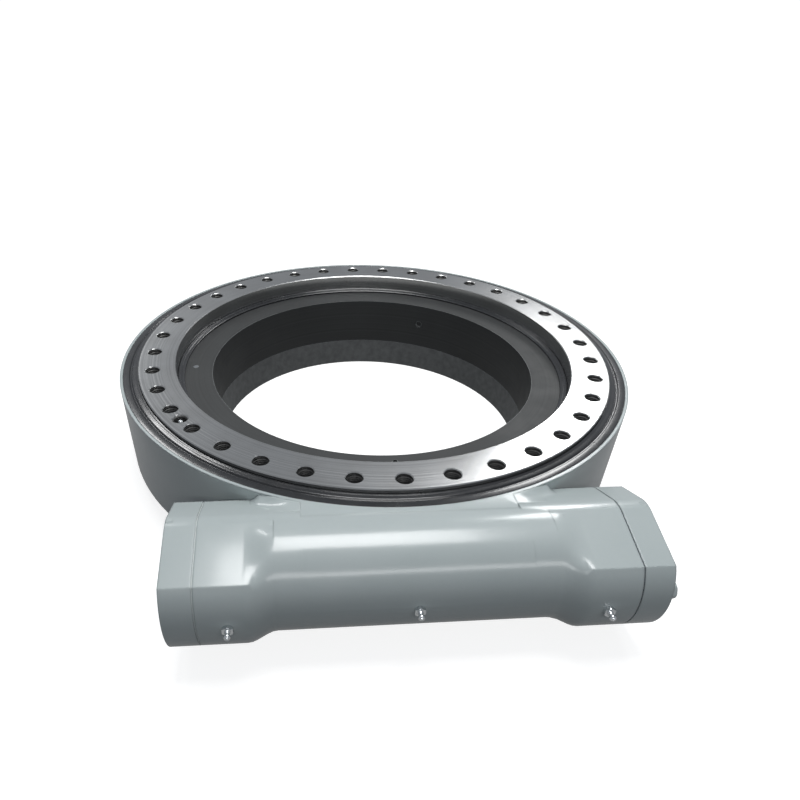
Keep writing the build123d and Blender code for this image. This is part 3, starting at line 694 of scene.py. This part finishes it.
def turned_profile(form, outline_mm, steps=32):
    rows = []
    for r, z in outline_mm:
        if r == 0:
            rows.append([form.verts.new((0, 0, z / 1000))])
        else:
            rows.append([form.verts.new((r * cos(2 * pi * i / steps) / 1000, r * sin(2 * pi * i / steps) / 1000,
                                         z / 1000)) for i in range(steps)])
    for a, b in zip(rows, rows[1:]):
        for i in range(steps):
            k = (i + 1) % steps
            corners = [a[i % len(a)], a[k % len(a)], b[k % len(b)], b[i % len(b)]]
            corners = [v for n, v in enumerate(corners) if v not in corners[:n]]
            form.faces.new(corners)


def hexagon(form, across_mm, z0, z1, chamfer_mm=0.5):
    """A six-sided bar with its corners turned off, as a spanner hexagon is."""
    rows = []
    corner = across_mm / 2 / cos(pi / 6)
    steps = 48
    flat = across_mm / 2
    for z, grown in ((z0, -chamfer_mm), (z0 + chamfer_mm, 0), (z1 - chamfer_mm, 0), (z1, -chamfer_mm)):
        row = []
        for i in range(steps):
            angle = 2 * pi * i / steps
            inside = (angle + pi / 6) % (pi / 3) - pi / 6
            reach_mm = min(flat / cos(inside), corner * 0.985)
            limit = corner * 0.985 + grown if grown else reach_mm
            reach_mm = min(reach_mm, limit)
            row.append(form.verts.new((reach_mm * cos(angle) / 1000, reach_mm * sin(angle) / 1000, z / 1000)))
        rows.append(row)
    for a, b in zip(rows, rows[1:]):
        for i in range(steps):
            k = (i + 1) % steps
            form.faces.new((a[i], a[k], b[k], b[i]))
    form.faces.new(list(reversed(rows[0])))
    form.faces.new(rows[-1])


def object_from(form, name, material, matrix):
    bmesh.ops.remove_doubles(form, verts=form.verts, dist=1e-7)
    bmesh.ops.recalc_face_normals(form, faces=form.faces)
    form.transform(matrix)
    mesh = mesh_from(form, name)
    mesh.materials.append(material)
    return add_object(name, mesh)


print("shape helpers:", turned_profile.__name__, hexagon.__name__, object_from.__name__)

# %% [markdown]
# A grease nipple is a small turned fitting: a threaded stud, a hexagon to hold with a spanner, a waist that
# the grease coupling grips behind, and a ball in the tip that lets grease in and not out. One function
# draws it at each lubrication point.

# %% Grease nipples


def grease_nipple(name, matrix, stands_for):
    form = bmesh.new()
    turned_profile(form, [
        (0, -8), (2.6, -8), (3.0, -7.5), (3.0, 3.9), (2.9, 4.6), (2.5, 5.4), (2.3, 6.0), (2.3, 6.6), (2.6, 7.3),
        (3.2, 8.4), (3.3, 9.1), (3.2, 10.0), (2.7, 11.1), (1.9, 12.0), (1.3, 12.35), (1.05, 12.4), (0.95, 12.0),
        (0, 12.0)])
    hexagon(form, 10.0, 0, 4.0)
    turned_profile(form, [(0, 11.5), (0.6, 11.7), (0.9, 12.1), (0.6, 12.4), (0, 12.45)], 16)
    piece = object_from(form, name, zinc, matrix)
    finish_piece(piece, [stands_for], 28)


worm_y, worm_z = -0.352, 0.0725
facing_front = Matrix.Rotation(radians(90), 4, "X")
for side, x, out in (("left", -0.1725, 0.06705), ("middle", 0.0, 0.05605), ("right", 0.1725, 0.06705)):
    seat = Matrix.Translation((x, worm_y - out, worm_z)) @ facing_front
    grease_nipple(f"front_nipple_{side}", seat, f"grease_nipple_{side}")
lube_angle, lube_z = radians(-145.0), 0.115
ring_seat = Matrix.Translation((bolt_circle * cos(lube_angle), bolt_circle * sin(lube_angle), lube_z))
grease_nipple("ring_nipple", ring_seat, "ring_grease_nipple")
print("ring nipple at:", [round(v, 4) for v in ring_seat.translation])

# %% [markdown]
# The covers are held by socket head screws sunk in counterbores, three pairs at each end. One screw with
# its six-sided socket is drawn once. Its six places are the points of a tiny mesh, and Geometry Nodes sets
# a copy on each point and turns it to face out of the cover.

# %% One socket head screw


def socket_screw(reach_mm, steps=36):
    """A screw along -Z whose head's top is at z = 0."""
    form = bmesh.new()
    body = [(0, -reach_mm), (2.6, -reach_mm), (3.0, -reach_mm + 0.5), (3.0, -6.0), (4.7, -6.0), (5.0, -5.6),
            (5.0, -0.5), (4.5, 0)]
    turned_profile(form, body, steps)
    form.verts.ensure_lookup_table()
    rim = list(form.verts)[-steps:]
    rows = [rim]
    for depth in (0.0, -3.0):
        row = []
        for i in range(steps):
            angle = 2 * pi * i / steps
            inside = (angle + pi / 6) % (pi / 3) - pi / 6
            reach_in = 2.5 / cos(inside) / 1000
            row.append(form.verts.new((reach_in * cos(angle), reach_in * sin(angle), depth / 1000)))
        rows.append(row)
    for a, b in zip(rows, rows[1:]):
        for i in range(steps):
            k = (i + 1) % steps
            form.faces.new((a[i], a[k], b[k], b[i]))
    form.faces.new(rows[-1])
    bmesh.ops.recalc_face_normals(form, faces=form.faces)
    return mesh_from(form, "socket_screw")


screw_shape = socket_screw(reach_mm=42.0)
print("screw faces:", len(screw_shape.polygons))

# %% [markdown]
# The screws don't lie on a circle, so the second tree has its points given. All its copies share one tilt,
# which turns the heads to face out of their end of the casing.

# %% Copies on the points of a mesh, with Geometry Nodes


def copies_on_points(name, shape, points, tilt_degrees, material, body):
    tree, given = tree_with_inputs(name, (
        ("Points", "NodeSocketGeometry"), ("Tilt", "NodeSocketFloat"), ("Shape", "NodeSocketObject"),
        ("Finish", "NodeSocketMaterial")))
    tilt = put(tree, "ShaderNodeCombineXYZ", links={"Y": given["Tilt"]})
    info = put(tree, "GeometryNodeObjectInfo", links={"Object": given["Shape"]})
    copies = put(tree, "GeometryNodeInstanceOnPoints", links={
        "Points": given["Points"], "Instance": info.outputs["Geometry"], "Rotation": tilt.outputs[0]})
    finish_tree(tree, copies, given["Finish"])
    base = bpy.data.meshes.new(name + "_places")
    base.from_pydata(points, [], [])
    wanted = {"Tilt": radians(tilt_degrees), "Finish": material}
    return bake_copies(name, base, tree, shape, wanted, body)


screw_places = [(u, v * side) for u, v in ((-45, 34), (17, 48), (56, 30)) for side in (1, -1)]
cover_face, head_top = 0.2295, 0.2285  # the heads are sunk 1 mm below the covers' faces
for name, node, end, tilt in (("input_flange_socket_screws", "input_flange_screws", -head_top, -90),
                              ("end_cover_socket_screws", "end_cover_screws", head_top, 90)):
    spots = [(end, worm_y + u / 1000, worm_z + v / 1000) for u, v in screw_places]
    screws = copies_on_points(name, screw_shape, spots, tilt, black_oxide, "housing")
    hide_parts(node)

# %% [markdown]
# Where the drum meets the bearing housings, the real casting runs in one soft hollow, while the packed
# solids end their web in a step. A small patch fills it: beside the web it is level with the rim, and
# further out it runs down the drum's wall in a curve. Its underside and its edges lie in the casting. A fine
# line still shows where it meets the web.

# %% Cast hollows beside the web
drum_mm, worm_mm = 328.0, 352.0
web_end, level_run = 105.0, 34.0  # where the web stops, and how far its level carries on
curve_high, curve_wide = 9.0, 18.0
fade_from, fade_run = 144.0, 11.0
patch_from, patch_to, near_u = 104.8, 155.0, 27.5
along, across = 50, 18
below_rim, into_drum, below_slope = 0.02, 0.3, 1.5  # how deep its top, its drum side and its underside lie
slope_start, slope_high, slope_fall = 40.0, 119.19, 0.3833


def smoothstep(t):
    t = max(0.0, min(1.0, t))
    return t * t * (3 - 2 * t)


def rear_slope(u):
    """Height in mm of the bearing housing's slope at u from the worm's axis towards the ring."""
    return slope_high - slope_fall * (u - slope_start)


def hollow_height(x, u, wall):
    """Height in mm at x along the worm; wall is the u at which the drum stands."""
    slope = rear_slope(u)
    level = 1 - smoothstep((x - web_end) / level_run)
    rise = min(curve_high, rim_z - slope) * (1 - smoothstep((x - fade_from) / fade_run))
    curve = rise * max(0.0, 1 - (wall - u) / curve_wide) ** 2
    return slope + level * max(0.0, rim_z - slope) + (1 - level) * curve - below_rim


form = bmesh.new()
for side in (1, -1):
    top, bottom = [], []
    for i in range(along + 1):
        x = patch_from + (patch_to - patch_from) * i / along
        wall = worm_mm - sqrt(drum_mm * drum_mm - x * x) + into_drum
        spots = [near_u + (wall - near_u) * j / across for j in range(across + 1)]
        heights = [hollow_height(x, u, wall) for u in spots], [rear_slope(u) - below_slope for u in spots]
        for rows, zs in zip((top, bottom), heights):
            rows.append([form.verts.new((side * x / 1000, (u - worm_mm) / 1000, z / 1000))
                         for u, z in zip(spots, zs)])
    for i in range(along):
        for j in range(across):
            form.faces.new((top[i][j], top[i + 1][j], top[i + 1][j + 1], top[i][j + 1]))
            form.faces.new((bottom[i][j], bottom[i][j + 1], bottom[i + 1][j + 1], bottom[i + 1][j]))
        for j in (0, across):
            form.faces.new((top[i][j], bottom[i][j], bottom[i + 1][j], top[i + 1][j]))
    for i in (0, along):
        for j in range(across):
            form.faces.new((top[i][j], top[i][j + 1], bottom[i][j + 1], bottom[i][j]))
hollows = object_from(form, "cast_web_hollows", enamel, Matrix.Identity(4))
hollows.data.shade_smooth()
hollows.data.set_sharp_from_angle(angle=radians(40))
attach(hollows, "housing")
print("hollow faces:", len(hollows.data.polygons))

# %% [markdown]
# One cast plug with a painted hexagon closes a filling hole in the end cover. A small round plug in the
# fixed ring's bore shows only as a thin lighter circle, because its face is as dark as the wall round it.

# %% Plugs
cover_plug_y, cover_plug_z = -0.401, 0.0765
facing_end = Matrix.Translation((cover_face, cover_plug_y, cover_plug_z)) @ Matrix.Rotation(radians(90), 4, "Y")
form = bmesh.new()
turned_profile(form, [(0, -14), (4.6, -14), (5.0, -13.6), (5.0, 0), (10.4, 0), (10.6, 0.3), (10.6, 1.3),
                      (10.3, 1.6), (0, 1.6)], 40)
hexagon(form, 18.0, 1.5, 10.5, 0.9)
cover_plug = object_from(form, "cover_hex_plug", enamel, facing_end)
finish_piece(cover_plug, ["end_cover_plug"], 28)

plug_turn, plug_radius, plug_z = radians(62), 0.215, 0.075  # its face stands 1 mm back in the bore's wall
facing_axis = Matrix.Rotation(radians(-90), 4, "Y")
outward = Matrix.Rotation(plug_turn, 4, "Z") @ Matrix.Translation((plug_radius, 0, plug_z)) @ facing_axis
form = bmesh.new()
turned_profile(form, [(0, -11), (5.2, -11), (5.2, -0.3), (4.9, 0), (4.1, 0), (3.8, -0.4), (0, -0.4)], 40)
wall_plug = object_from(form, "bore_wall_plug", oiled_steel, outward)
finish_piece(wall_plug, ["bore_plug"], 28)
print("plugs done")
